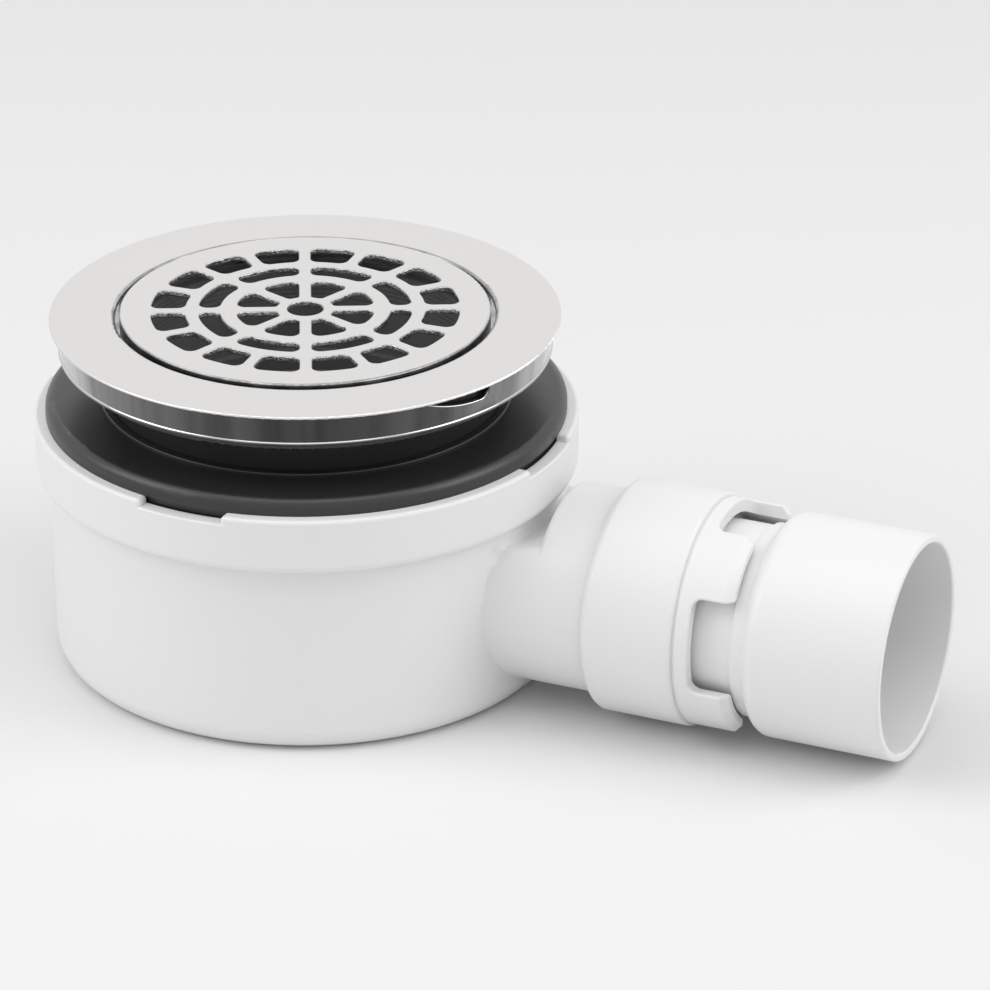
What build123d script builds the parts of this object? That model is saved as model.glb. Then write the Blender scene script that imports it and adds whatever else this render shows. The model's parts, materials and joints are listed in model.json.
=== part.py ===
"""Shower trap for a 90 mm tray hole: bowl, dip tube, clamped steel flange, grid and swivel outlet.

The origin is the centre of the base, +Z is up along the bowl's axis and +X runs out along the outlet.
"""

import os
from math import cos, pi, radians, sin

from build123d import *

os.makedirs("parts", exist_ok=True)

# Bowl
bowl_draft = 0.7
bowl_height = 51.5
bowl_wall = 2.6
bowl_floor = 2.6
bowl_base_round = 5.0
bowl_inner_round = 3.0
cup_seat_height = 3.0
cup_seat_wall = 2.0

# Ring that caps the bowl
ring_radius = 60.8
ring_wall = 2.7
ring_height = 12.8
ring_edge_round = 0.9
ring_under_round = 2.0
deck_thickness = 3.0
rim_lip_height = 3.2
rim_lip_width = 3.0
throat_depth = 10.0
throat_wall = 3.2
notch_count = 4
notch_turn = -1.8
notch_width = 19.4
notch_depth = 1.7
notch_round = 0.9
notch_floor_round = 0.5

# Rubber ring on the deck
body_gasket_height = 7.0
body_gasket_round = 2.2
gasket_foot_gap = 0.6
gasket_overhang = 0.4
gasket_collar_width = 1.7
gasket_collar_height = 0.7

# Neck and flange stack
tray_gap = 8.9
flange_gasket_height = 3.1
flange_gasket_round = 0.7
deck_land_width = 16.6
neck_wall = 3.6
neck_engagement = 8.5
neck_ledge_width = 4.0
neck_ledge_height = 2.2
carrier_plate = 2.5
carrier_kerb_width = 2.2
carrier_kerb_height = 3.0

# Steel flange
flange_reach = 12.5
opening_margin = 1.6
flange_crown = 0.35
flange_rim_thickness = 0.6
flange_overhang = 1.2
sheet = 0.9
recess_depth = 3.7
ledge_width = 1.5
skirt_taper = 1.0
hem_width = 1.9
hem_bead_round = 0.5
hem_bead_stand = 0.4
rim_round = 0.25
opening_round = 0.85
key_slot_count = 2
key_slot_turn = -28.1
key_slot_width = 17.4
key_slot_depth = 3.05
key_slot_round = 1.9
key_slot_edge_round = 0.3

# Grid
grid_clearance = 1.05
grid_height = 4.2
grid_sheet = 1.2
grid_edge_round = 0.35
grid_turn = 25.6
centre_hole_radius = 4.0
rib_width = 2.7
grid_border_width = 6.85
outer_slot_length = 7.6
outer_slot_count = 16
outer_land_width = 2.95
middle_slot_length = 4.75
middle_slot_count = 8
inner_land_width = 3.55
inner_slot_start = 6.5
inner_slot_count = 8
inner_slot_tip_round = 0.95
slot_corner_round = 1.95
slot_edge_round = 0.25

# Dip tube, its seal and the cup
funnel_drop = 1.0
funnel_wall = 1.8
cone_drop = 10.2
dip_tube_radius = 22.0
dip_tube_end_height = 8.0
seal_section = 2.2
seal_height = 3.6
lift_bar_height = 3.0
lift_bar_width = 5.0
lift_bar_thickness = 2.5
cup_base_radius = 30.0
cup_rim_radius = 36.0
cup_height = 33.0
cup_wall = 1.9

# Outlet channel and stub
outlet_height = 26.2
channel_rise = 15.7
channel_width = 42.0
channel_top_round = 4.0
channel_root_round = 2.5
channel_wall = 2.3
channel_length = 5.6
stub_radius = 22.85
stub_length = 29.5
stub_start_round = 5.0
socket_depth = 13.5
stub_thread_height = 0.75
mouth_taper_length = 2.0
mouth_taper_depth = 1.0

# Outlet spigot
tail_radius = 20.75
tail_wall = 2.05
tail_gap = 0.5
shoulder_gap = 2.1
shoulder_band_length = 2.4
shoulder_band_height = 0.8
shoulder_length = 4.6
shoulder_round = 3.4
spigot_radius = 25.0
spigot_wall = 1.8
plain_end_length = 28.4
mouth_round = 0.6

# Coupling nut
nut_length = 21.4
nut_wall = 2.3
nut_start_round = 2.0
nut_end_round = 0.8
nut_web = 2.5
nut_collar_step = 0.7
nut_groove = 0.7
nut_collar_length = 3.6
tooth_length = 8.8
tooth_count = 4
tooth_gap_angle = 50.0
tooth_turn = 39.0
tooth_wall = 2.9
tooth_root_round = 2.2
tooth_tip_chamfer = 1.6
tooth_tip_round = 0.6
tooth_edge_round = 0.45

# Slip washer and the taper ring that it presses
washer_thickness = 1.0
washer_wall = 2.6
seal_wall = 2.2
seal_stand = 1.6

# Fits
thread_clearance = 0.2
slide_clearance = 0.2
face_clearance = 0.05
round_share = 0.45

# Bowl, neck and cover round the ring
bowl_rim_radius = ring_radius - ring_wall - slide_clearance
bowl_base_radius = bowl_rim_radius - bowl_draft
neck_radius = ring_radius - deck_land_width
neck_bore_radius = neck_radius - neck_wall
flange_radius = neck_radius + flange_reach
flange_opening_radius = neck_bore_radius + opening_margin

# Heights up the stack
deck_top = bowl_height + deck_thickness
ring_top = deck_top + rim_lip_height
ring_bottom = ring_top - ring_height
rim_inner_radius = ring_radius - rim_lip_width
throat_radius = neck_radius + thread_clearance
throat_bottom = deck_top - throat_depth
body_gasket_top = deck_top + body_gasket_height
flange_gasket_bottom = body_gasket_top + tray_gap
carrier_bottom = flange_gasket_bottom + flange_gasket_height
carrier_plate_top = carrier_bottom + carrier_plate
neck_bottom = deck_top - neck_engagement
neck_ledge_top = neck_bottom + neck_ledge_height
neck_ledge_radius = neck_bore_radius - neck_ledge_width
ledge_top = carrier_plate_top + sheet
opening_top = ledge_top + recess_depth
rim_top = opening_top - flange_crown

# Stations and radii along the outlet
stub_start = bowl_rim_radius + channel_length
stub_end = stub_start + stub_length
stub_stop = stub_end - socket_depth
washer_start = stub_end + seal_stand
nut_web_start = washer_start + washer_thickness
nut_shoulder = nut_web_start + nut_web
nut_start = nut_shoulder - nut_length
collar_end = nut_shoulder + nut_collar_length
tooth_tip = collar_end + tooth_length
stub_thread_radius = stub_radius + stub_thread_height
nut_bore_radius = stub_thread_radius + thread_clearance
nut_radius = nut_bore_radius + nut_wall
collar_radius = nut_radius - nut_collar_step
tooth_inner_radius = collar_radius - tooth_wall
tail_bore_radius = tail_radius - tail_wall
tail_start = stub_stop + tail_gap
stub_socket_radius = tail_radius + slide_clearance
shoulder_start = tooth_tip + shoulder_gap
shoulder_band_start = shoulder_start - shoulder_band_length
spigot_straight = shoulder_start + shoulder_length
spigot_end = spigot_straight + plain_end_length

outlet_axis = Axis((0, 0, outlet_height), (1, 0, 0))
outlet_side = Plane(origin=(0, 0, outlet_height), x_dir=(1, 0, 0), z_dir=(0, -1, 0))


def across_outlet(station):
    """Plane square to the outlet at a station, with its local Y pointing up."""
    return Plane(origin=(station, 0, outlet_height), x_dir=(0, 1, 0), z_dir=(1, 0, 0))


def from_outlet(point):
    """Distance of a point from the outlet's axis."""
    return Vector(0, point.Y, point.Z - outlet_height).length


def corner(across, along, sketch):
    """Corner of a profile that lies nearest to a point given in the profile's own plane."""
    return sketch.vertices().sort_by_distance((across, along))[0]


def channel_section(station, margin):
    """Outlet channel's section at a station: round below, straight sided, flat on top."""
    half_width = channel_width / 2 - margin
    roof = channel_rise - margin
    with BuildSketch(across_outlet(station)) as section:
        with BuildLine():
            Polyline((half_width, 0), (half_width, roof), (-half_width, roof), (-half_width, 0))
            ThreePointArc((-half_width, 0), (0, -half_width), (half_width, 0))
        make_face()
        fillet(section.vertices().group_by(Axis.Y)[-1], channel_top_round - margin / 2)
    return section.sketch


# Bowl with its outlet channel and stub
bowl_inner_base = bowl_base_radius - bowl_wall
bowl_inner_rim = bowl_rim_radius - bowl_wall
cup_seat_radius = cup_base_radius + slide_clearance
with BuildPart() as trap_bowl:
    with BuildSketch(Plane.XZ):
        with BuildLine():
            Polyline(
                (0, 0),
                (bowl_base_radius, 0),
                (bowl_rim_radius, bowl_height),
                (0, bowl_height),
                close=True,
            )
        make_face()
    revolve(axis=Axis.Z)
    extrude(channel_section(0, 0), amount=stub_start + stub_start_round)
    fillet(edges(Select.NEW), channel_root_round)
    fillet(edges().filter_by(GeomType.CIRCLE).group_by(Axis.Z)[0], bowl_base_round)
    with BuildSketch(outlet_side) as stub_outside:
        with BuildLine():
            Polyline(
                (stub_start, 0),
                (stub_start, stub_radius),
                (nut_start + nut_start_round, stub_radius),
                (nut_start + nut_start_round + stub_thread_height, stub_thread_radius),
                (stub_end, stub_thread_radius),
                (stub_end, 0),
                close=True,
            )
        make_face()
        fillet(corner(stub_start, stub_radius, stub_outside), stub_start_round)
    revolve(axis=outlet_axis)
    with BuildSketch(Plane.XZ) as bowl_inside:
        with BuildLine():
            Polyline(
                (0, bowl_floor),
                (cup_seat_radius, bowl_floor),
                (cup_seat_radius, bowl_floor + cup_seat_height),
                (cup_seat_radius + cup_seat_wall, bowl_floor + cup_seat_height),
                (cup_seat_radius + cup_seat_wall, bowl_floor),
                (bowl_inner_base, bowl_floor),
                (bowl_inner_rim, bowl_height),
                (0, bowl_height),
                close=True,
            )
        make_face()
        fillet(corner(bowl_inner_base, bowl_floor, bowl_inside), bowl_inner_round)
    revolve(axis=Axis.Z, mode=Mode.SUBTRACT)
    passage_start = cup_seat_radius + cup_seat_wall
    passage_length = stub_start + channel_wall - passage_start
    extrude(channel_section(passage_start, channel_wall), amount=passage_length, mode=Mode.SUBTRACT)
    with BuildSketch(outlet_side):
        with BuildLine():
            Polyline(
                (stub_start + channel_wall, 0),
                (stub_start + channel_wall, tail_bore_radius),
                (stub_stop, tail_bore_radius),
                (stub_stop, stub_socket_radius),
                (stub_end - mouth_taper_length, stub_socket_radius),
                (stub_end, stub_socket_radius + mouth_taper_depth),
                (stub_end, 0),
                close=True,
            )
        make_face()
    revolve(axis=outlet_axis, mode=Mode.SUBTRACT)
trap_bowl.part.label = "trap_bowl"
export_step(trap_bowl.part, "parts/trap_bowl.step")

# Notched ring that caps the bowl and carries the thread for the neck
ring_bore_radius = bowl_rim_radius + slide_clearance
notch_floor = ring_top - notch_depth
lip_foot = notch_floor - notch_floor_round
with BuildPart() as top_ring:
    with BuildSketch(Plane.XZ) as ring_profile:
        with BuildLine():
            Polyline(
                (throat_radius, throat_bottom),
                (throat_radius, deck_top),
                (rim_inner_radius, deck_top),
                (rim_inner_radius, notch_floor),
                (ring_radius, notch_floor),
                (ring_radius, ring_bottom),
                (ring_bore_radius, ring_bottom),
                (ring_bore_radius, bowl_height),
                (throat_radius + throat_wall, bowl_height),
                (throat_radius + throat_wall, throat_bottom),
                close=True,
            )
        make_face()
        fillet(corner(ring_radius, notch_floor, ring_profile), notch_floor_round)
        fillet(corner(ring_radius, ring_bottom, ring_profile), ring_under_round)
    revolve(axis=Axis.Z)
    with BuildPart(mode=Mode.PRIVATE) as rim_lip:
        with BuildSketch(Plane.XZ) as lip_profile:
            with BuildLine():
                Polyline(
                    (rim_inner_radius, lip_foot),
                    (ring_radius, lip_foot),
                    (ring_radius, ring_top),
                    (rim_inner_radius, ring_top),
                    close=True,
                )
            make_face()
            fillet(corner(ring_radius, ring_top, lip_profile), ring_edge_round)
        revolve(axis=Axis.Z)
        with BuildSketch(Plane.XY.offset(lip_foot)):
            with PolarLocations(ring_radius, notch_count, start_angle=notch_turn):
                Rectangle(3 * rim_lip_width, notch_width)
        extrude(amount=ring_top - lip_foot, mode=Mode.SUBTRACT)
        notch_tops = edges().filter_by(GeomType.LINE).filter_by(Plane.XY).group_by(Axis.Z)[-1]
        fillet(notch_tops, notch_round)
    add(rim_lip.part)
top_ring.part.label = "top_ring"
export_step(top_ring.part, "parts/top_ring.step")

# Thick rubber ring on the deck
gasket_foot_radius = rim_inner_radius - gasket_foot_gap
body_gasket_radius = rim_inner_radius + gasket_overhang
body_gasket_bore = neck_radius + thread_clearance
collar_outer_radius = body_gasket_bore + gasket_collar_width
collar_top = body_gasket_top + gasket_collar_height
with BuildPart() as body_gasket:
    with BuildSketch(Plane.XZ) as body_gasket_profile:
        with BuildLine():
            Polyline(
                (body_gasket_bore, deck_top),
                (gasket_foot_radius, deck_top),
                (gasket_foot_radius, ring_top),
                (body_gasket_radius, ring_top),
                (body_gasket_radius, body_gasket_top),
                (collar_outer_radius, body_gasket_top),
                (collar_outer_radius, collar_top),
                (body_gasket_bore, collar_top),
                close=True,
            )
        make_face()
        fillet(corner(body_gasket_radius, body_gasket_top, body_gasket_profile), body_gasket_round)
        fillet(corner(collar_outer_radius, collar_top, body_gasket_profile), gasket_collar_height / 2)
    revolve(axis=Axis.Z)
body_gasket.part.label = "body_gasket"
export_step(body_gasket.part, "parts/body_gasket.step")

# Radii of the steel cover, with the carrier inside its skirt and the washer inside its hem
skirt_top_radius = flange_radius - flange_overhang
skirt_foot_radius = skirt_top_radius - skirt_taper
hem_inner_radius = skirt_foot_radius - hem_width
carrier_radius = skirt_foot_radius - sheet - slide_clearance
flange_gasket_radius = hem_inner_radius - slide_clearance

# Rubber washer under the flange
with BuildPart() as flange_gasket:
    with BuildSketch(Plane.XZ) as flange_gasket_profile:
        with BuildLine():
            Polyline(
                (body_gasket_bore, flange_gasket_bottom),
                (flange_gasket_radius, flange_gasket_bottom),
                (flange_gasket_radius, carrier_bottom),
                (body_gasket_bore, carrier_bottom),
                close=True,
            )
        make_face()
        fillet(corner(flange_gasket_radius, flange_gasket_bottom, flange_gasket_profile), flange_gasket_round)
        fillet(corner(flange_gasket_radius, carrier_bottom, flange_gasket_profile), flange_gasket_round)
    revolve(axis=Axis.Z)
flange_gasket.part.label = "flange_gasket"
export_step(flange_gasket.part, "parts/flange_gasket.step")

# Threaded neck with the flat flange that carries the steel cover
kerb_inner_radius = carrier_radius - carrier_kerb_width
with BuildPart() as flange_carrier:
    with BuildSketch(Plane.XZ):
        with BuildLine():
            Polyline(
                (neck_ledge_radius, neck_bottom),
                (neck_radius, neck_bottom),
                (neck_radius, carrier_bottom),
                (carrier_radius, carrier_bottom),
                (carrier_radius, carrier_plate_top + carrier_kerb_height),
                (kerb_inner_radius, carrier_plate_top + carrier_kerb_height),
                (kerb_inner_radius, carrier_plate_top),
                (neck_bore_radius, carrier_plate_top),
                (neck_bore_radius, neck_ledge_top),
                (neck_ledge_radius, neck_ledge_top),
                close=True,
            )
        make_face()
    revolve(axis=Axis.Z)
flange_carrier.part.label = "flange_carrier"
export_step(flange_carrier.part, "parts/flange_carrier.step")

# Pressed steel cover: recess for the grid, plate, skirt and curled hem
recess_outer_radius = flange_opening_radius + sheet
hem_bottom = carrier_bottom - sheet
rim_bottom = rim_top - flange_rim_thickness
skirt_slope = skirt_taper / (rim_bottom - hem_bottom)
skirt_inner_foot = skirt_foot_radius - sheet + skirt_slope * sheet
plate_slope = flange_crown / (flange_radius - flange_opening_radius)
skirt_inner_top = skirt_top_radius - sheet
plate_under = opening_top - sheet
with BuildPart() as waste_flange:
    with BuildSketch(Plane.XZ) as flange_profile:
        with BuildLine():
            Polyline(
                (flange_opening_radius - ledge_width, carrier_plate_top),
                (flange_opening_radius - ledge_width, ledge_top),
                (flange_opening_radius, ledge_top),
                (flange_opening_radius, opening_top),
                (flange_radius, rim_top),
                (flange_radius, rim_bottom),
                (skirt_top_radius, rim_bottom),
                (skirt_foot_radius, hem_bottom),
                (hem_inner_radius, hem_bottom),
                (hem_inner_radius, carrier_bottom),
                (skirt_inner_foot, carrier_bottom),
                (skirt_inner_top, plate_under - plate_slope * (skirt_inner_top - flange_opening_radius)),
                (recess_outer_radius, plate_under - plate_slope * sheet),
                (recess_outer_radius, carrier_plate_top),
                close=True,
            )
        make_face()
        fillet(corner(flange_opening_radius, opening_top, flange_profile), opening_round)
        rim_edge_round = min(rim_round, round_share * flange_rim_thickness)
        fillet(corner(flange_radius, rim_top, flange_profile), rim_edge_round)
        fillet(corner(flange_radius, rim_bottom, flange_profile), rim_edge_round)
        with Locations((skirt_foot_radius + hem_bead_stand - hem_bead_round, hem_bottom + hem_bead_round)):
            Circle(hem_bead_round)
    revolve(axis=Axis.Z)
    for index in range(key_slot_count):
        turn = radians(key_slot_turn + index * 360 / key_slot_count)
        outward = Vector(cos(turn), sin(turn), 0)
        sideways = Vector(-sin(turn), cos(turn), 0)
        slot_origin = flange_radius * outward + Vector(0, 0, rim_bottom)
        half_slot = key_slot_width / 2
        with BuildSketch(Plane(origin=slot_origin, x_dir=sideways, z_dir=outward)):
            with BuildLine():
                TangentArc((half_slot - key_slot_round, -key_slot_depth), (-half_slot, 0), tangent=(-1, 0))
                Polyline((-half_slot, 0), (half_slot, 0), (half_slot, key_slot_round - key_slot_depth))
                RadiusArc(
                    (half_slot, key_slot_round - key_slot_depth),
                    (half_slot - key_slot_round, -key_slot_depth),
                    key_slot_round,
                )
            make_face()
        extrude(amount=carrier_radius - flange_radius, mode=Mode.SUBTRACT)
        slot_edges = []
        for edge in edges(Select.NEW):
            inmost = min(Vector(end.X, end.Y).length for end in (edge @ 0, edge @ 1))
            if inmost > skirt_inner_top and (edge @ 0.5).Z < rim_bottom - face_clearance:
                slot_edges.append(edge)
        fillet(slot_edges, key_slot_edge_round)
waste_flange.part.label = "waste_flange"
export_step(waste_flange.part, "parts/waste_flange.step")

# Pierced grid with a turned-down edge
grid_radius = flange_opening_radius - grid_clearance
grid_top = ledge_top + grid_height
outer_slot_end = grid_radius - grid_border_width
outer_slot_start = outer_slot_end - outer_slot_length
middle_slot_end = outer_slot_start - outer_land_width
middle_slot_start = middle_slot_end - middle_slot_length
inner_slot_end = middle_slot_start - inner_land_width
with BuildPart() as grid:
    with BuildSketch(Plane.XZ) as grid_profile:
        with BuildLine():
            Polyline(
                (0, grid_top - grid_sheet),
                (grid_radius - grid_sheet, grid_top - grid_sheet),
                (grid_radius - grid_sheet, ledge_top),
                (grid_radius, ledge_top),
                (grid_radius, grid_top),
                (0, grid_top),
                close=True,
            )
        make_face()
        fillet(corner(grid_radius, grid_top, grid_profile), grid_edge_round)
    revolve(axis=Axis.Z)
    with BuildSketch(Plane.XY.offset(grid_top)):
        Circle(centre_hole_radius)
    extrude(amount=-grid_sheet, mode=Mode.SUBTRACT)
    for slot_start, slot_end, slot_count, tip_round in (
        (inner_slot_start, inner_slot_end, inner_slot_count, inner_slot_tip_round),
        (middle_slot_start, middle_slot_end, middle_slot_count, slot_corner_round),
        (outer_slot_start, outer_slot_end, outer_slot_count, slot_corner_round),
    ):
        with BuildSketch(Plane.XY.offset(grid_top)):
            Circle(slot_end)
            Circle(slot_start, mode=Mode.SUBTRACT)
            with PolarLocations(0, slot_count, start_angle=grid_turn):
                with Locations((slot_end / 2 + rib_width, 0)):
                    Rectangle(slot_end + 2 * rib_width, rib_width, mode=Mode.SUBTRACT)
            slot_middle = (slot_start + slot_end) / 2
            slot_length = slot_end - slot_start
            slot_tip_width = 2 * slot_start * sin(pi / slot_count) - rib_width
            slot_tips = [tip for tip in vertices() if Vector(tip.X, tip.Y).length < slot_middle]
            fillet(slot_tips, min(tip_round, round_share * slot_length, round_share * slot_tip_width))
            slot_heels = vertices().group_by(lambda point: round(Vector(point.X, point.Y).length, 3))[-1]
            fillet(slot_heels, min(slot_corner_round, round_share * slot_length))
        extrude(amount=-grid_sheet, mode=Mode.SUBTRACT)
    fillet(faces().sort_by(Axis.Z)[-1].inner_wires().edges(), slot_edge_round)
grid.part.label = "grid"
export_step(grid.part, "parts/grid.step")

# Funnel and dip tube with a lifting bar across the funnel
funnel_radius = neck_bore_radius - slide_clearance
funnel_rim_bore_radius = funnel_radius - funnel_wall
funnel_top = carrier_plate_top - funnel_drop
funnel_foot_radius = neck_ledge_radius - slide_clearance
seal_groove_radius = neck_bore_radius - seal_section
cone_bottom = neck_ledge_top - cone_drop
seal_middle = neck_ledge_top + seal_height
funnel_bore_radius = seal_groove_radius - funnel_wall
dip_bore_radius = dip_tube_radius - funnel_wall
with BuildPart() as dip_tube:
    with BuildSketch(Plane.XZ):
        with BuildLine():
            Polyline(
                (dip_bore_radius, dip_tube_end_height),
                (dip_tube_radius, dip_tube_end_height),
                (dip_tube_radius, cone_bottom),
                (funnel_foot_radius, neck_ledge_top),
                (funnel_radius, neck_ledge_top),
                (funnel_radius, seal_middle - seal_section / 2),
                (seal_groove_radius, seal_middle - seal_section / 2),
                (seal_groove_radius, seal_middle + seal_section / 2),
                (funnel_radius, seal_middle + seal_section / 2),
                (funnel_radius, funnel_top),
                (funnel_rim_bore_radius, funnel_top),
                (funnel_rim_bore_radius, seal_middle + seal_section / 2 + funnel_wall),
                (funnel_bore_radius, seal_middle + seal_section / 2 + funnel_wall),
                (funnel_bore_radius, neck_ledge_top + funnel_wall),
                (dip_bore_radius, cone_bottom),
                close=True,
            )
        make_face()
    revolve(axis=Axis.Z)
    with BuildSketch(Plane.XY.offset(neck_ledge_top + lift_bar_height)):
        Rectangle(2 * funnel_bore_radius + funnel_wall, lift_bar_width)
    extrude(amount=lift_bar_thickness)
dip_tube.part.label = "dip_tube"
export_step(dip_tube.part, "parts/dip_tube.step")

# O-ring between the funnel and the neck
with BuildPart() as dip_tube_seal:
    with BuildSketch(Plane.XZ):
        with Locations((seal_groove_radius + seal_section / 2, seal_middle)):
            Circle(seal_section / 2 - face_clearance)
    revolve(axis=Axis.Z)
dip_tube_seal.part.label = "dip_tube_seal"
export_step(dip_tube_seal.part, "parts/dip_tube_seal.step")

# Loose cup that holds the sealing water
with BuildPart() as weir_cup:
    with BuildSketch(Plane.XZ):
        with BuildLine():
            Polyline(
                (0, bowl_floor),
                (cup_base_radius, bowl_floor),
                (cup_base_radius, bowl_floor + cup_seat_height),
                (cup_rim_radius, bowl_floor + cup_height),
                (cup_rim_radius - cup_wall, bowl_floor + cup_height),
                (cup_base_radius - cup_wall, bowl_floor + cup_seat_height),
                (cup_base_radius - cup_wall, bowl_floor + cup_wall),
                (0, bowl_floor + cup_wall),
                close=True,
            )
        make_face()
    revolve(axis=Axis.Z)
weir_cup.part.label = "weir_cup"
export_step(weir_cup.part, "parts/weir_cup.step")

# Spigot: plain tail in the stub, shoulder, and the full pipe size
spigot_bore_radius = spigot_radius - spigot_wall
band_radius = tail_radius + shoulder_band_height
shoulder_corner = shoulder_start + shoulder_length / 2
with BuildPart() as outlet_spigot:
    with BuildSketch(outlet_side) as spigot_profile:
        with BuildLine():
            Polyline(
                (tail_start, tail_bore_radius),
                (tail_start, tail_radius),
                (shoulder_band_start, tail_radius),
                (shoulder_band_start, band_radius),
                (shoulder_start, band_radius),
                (shoulder_corner, spigot_radius),
                (spigot_end, spigot_radius),
                (spigot_end, spigot_bore_radius),
                (spigot_straight, spigot_bore_radius),
                (shoulder_start, tail_bore_radius),
                close=True,
            )
        make_face()
        fillet(corner(shoulder_corner, spigot_radius, spigot_profile), shoulder_round)
        fillet(corner(spigot_end, spigot_radius, spigot_profile), mouth_round)
        fillet(corner(spigot_end, spigot_bore_radius, spigot_profile), mouth_round)
    revolve(axis=outlet_axis)
outlet_spigot.part.label = "outlet_spigot"
export_step(outlet_spigot.part, "parts/outlet_spigot.step")

# Coupling nut with a castellated end
tooth_gap_width = 2 * collar_radius * sin(radians(tooth_gap_angle / 2))
web_bore_radius = tail_radius + 2 * slide_clearance
groove_radius = collar_radius - nut_groove / 2
with BuildPart() as coupling_nut:
    with BuildSketch(outlet_side) as nut_profile:
        with BuildLine():
            Polyline(
                (nut_start, nut_bore_radius),
                (nut_start, nut_radius),
                (nut_shoulder, nut_radius),
                (nut_shoulder, groove_radius),
                (nut_shoulder + nut_groove, groove_radius),
                (nut_shoulder + nut_groove, collar_radius),
                (tooth_tip - tooth_tip_chamfer, collar_radius),
                (tooth_tip, collar_radius - tooth_tip_chamfer),
                (tooth_tip, tooth_inner_radius),
                (nut_shoulder, tooth_inner_radius),
                (nut_shoulder, web_bore_radius),
                (nut_web_start, web_bore_radius),
                (nut_web_start, nut_bore_radius),
                close=True,
            )
        make_face()
        fillet(corner(nut_start, nut_radius, nut_profile), nut_start_round)
        fillet(corner(nut_shoulder, nut_radius, nut_profile), nut_end_round)
        fillet(corner(tooth_tip - tooth_tip_chamfer, collar_radius, nut_profile), tooth_tip_round)
        fillet(corner(tooth_tip, collar_radius - tooth_tip_chamfer, nut_profile), tooth_tip_round)
    revolve(axis=outlet_axis)
    for index in range(tooth_count):
        turn = radians(tooth_turn + (index + 0.5) * 360 / tooth_count)
        outward = Vector(0, -sin(turn), cos(turn))
        with BuildSketch(Plane(origin=(tooth_tip, 0, outlet_height), x_dir=(1, 0, 0), z_dir=outward)):
            RectangleRounded(2 * tooth_length, tooth_gap_width, tooth_root_round)
        extrude(amount=nut_radius, mode=Mode.SUBTRACT)
    tooth_edges = []
    for edge in edges():
        ends = (edge @ 0, edge @ 1)
        beyond_collar = min(end.X for end in ends) > collar_end - face_clearance
        outside = min(from_outlet(end) for end in ends) > tooth_inner_radius + face_clearance
        turned = edge.geom_type == GeomType.CIRCLE and ends[0].X > collar_end + face_clearance
        if beyond_collar and outside and not turned:
            tooth_edges.append(edge)
    fillet(tooth_edges, tooth_edge_round)
coupling_nut.part.label = "coupling_nut"
export_step(coupling_nut.part, "parts/coupling_nut.step")

# Slip washer between the nut's web and the taper ring
ring_bore = tail_radius + slide_clearance / 2
with BuildPart() as slip_washer:
    with BuildSketch(across_outlet(washer_start)):
        Circle(ring_bore + washer_wall)
        Circle(ring_bore, mode=Mode.SUBTRACT)
    extrude(amount=washer_thickness)
slip_washer.part.label = "slip_washer"
export_step(slip_washer.part, "parts/slip_washer.step")

# Rubber taper ring pressed into the stub's mouth
taper_slope = mouth_taper_depth / mouth_taper_length
taper_end_radius = stub_socket_radius + mouth_taper_depth - taper_slope * face_clearance
taper_start = stub_end - mouth_taper_length + face_clearance
with BuildPart() as outlet_seal:
    with BuildSketch(outlet_side):
        with BuildLine():
            Polyline(
                (taper_start, ring_bore),
                (taper_start + face_clearance, stub_socket_radius),
                (stub_end + face_clearance, taper_end_radius),
                (stub_end + face_clearance, ring_bore + seal_wall),
                (washer_start, ring_bore + seal_wall),
                (washer_start, ring_bore),
                close=True,
            )
        make_face()
    revolve(axis=outlet_axis)
outlet_seal.part.label = "outlet_seal"
export_step(outlet_seal.part, "parts/outlet_seal.step")
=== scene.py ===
"""Looks of a shower trap: white mouldings, rubber gaskets, satin steel cover, plain studio."""

import json
from math import acos, cos, hypot, pi, radians, sin, sqrt

import bmesh
import bpy
from bpy.props import FloatProperty, FloatVectorProperty, PointerProperty
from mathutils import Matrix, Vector


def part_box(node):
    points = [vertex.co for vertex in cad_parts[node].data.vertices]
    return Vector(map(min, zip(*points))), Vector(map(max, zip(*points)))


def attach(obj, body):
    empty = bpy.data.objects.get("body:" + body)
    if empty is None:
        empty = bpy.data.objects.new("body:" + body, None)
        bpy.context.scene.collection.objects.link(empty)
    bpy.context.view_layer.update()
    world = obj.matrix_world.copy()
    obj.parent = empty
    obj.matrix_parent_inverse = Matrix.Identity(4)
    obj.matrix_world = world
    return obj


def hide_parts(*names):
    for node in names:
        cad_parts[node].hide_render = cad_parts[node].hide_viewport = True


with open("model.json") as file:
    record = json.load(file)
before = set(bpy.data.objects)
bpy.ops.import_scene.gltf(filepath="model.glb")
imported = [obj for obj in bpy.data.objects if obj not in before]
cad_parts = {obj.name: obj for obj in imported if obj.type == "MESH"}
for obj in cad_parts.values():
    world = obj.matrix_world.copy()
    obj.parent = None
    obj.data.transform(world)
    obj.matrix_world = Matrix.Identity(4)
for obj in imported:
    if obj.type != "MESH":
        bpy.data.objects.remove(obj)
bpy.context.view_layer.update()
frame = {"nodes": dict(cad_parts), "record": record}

bl_info = {
    "name": "Shower trap looks",
    "version": (1, 0, 0),
    "blender": (4, 5, 0),
    "location": "View3D > Sidebar > Shower trap",
    "description": "Finishes every piece of the shower trap and sets up its studio",
    "category": "Object",
}

WHITE_NODES = ("top_ring", "coupling_nut", "outlet_spigot")
BLACK_NODES = ("flange_carrier", "slip_washer")
RUBBER_NODES = ("body_gasket", "flange_gasket", "dip_tube_seal", "outlet_seal")

# Channel's skin: how finely it is divided, how deep the old channel lies under it, what is sharp
ROOF_STEPS = 24
ROUND_STEPS = 120
EDGE_STEPS = 6
SKIN_SLACK = 0.00005
WELD_DISTANCE = 0.000001
SHARP_ANGLE = radians(35.0)

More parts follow.
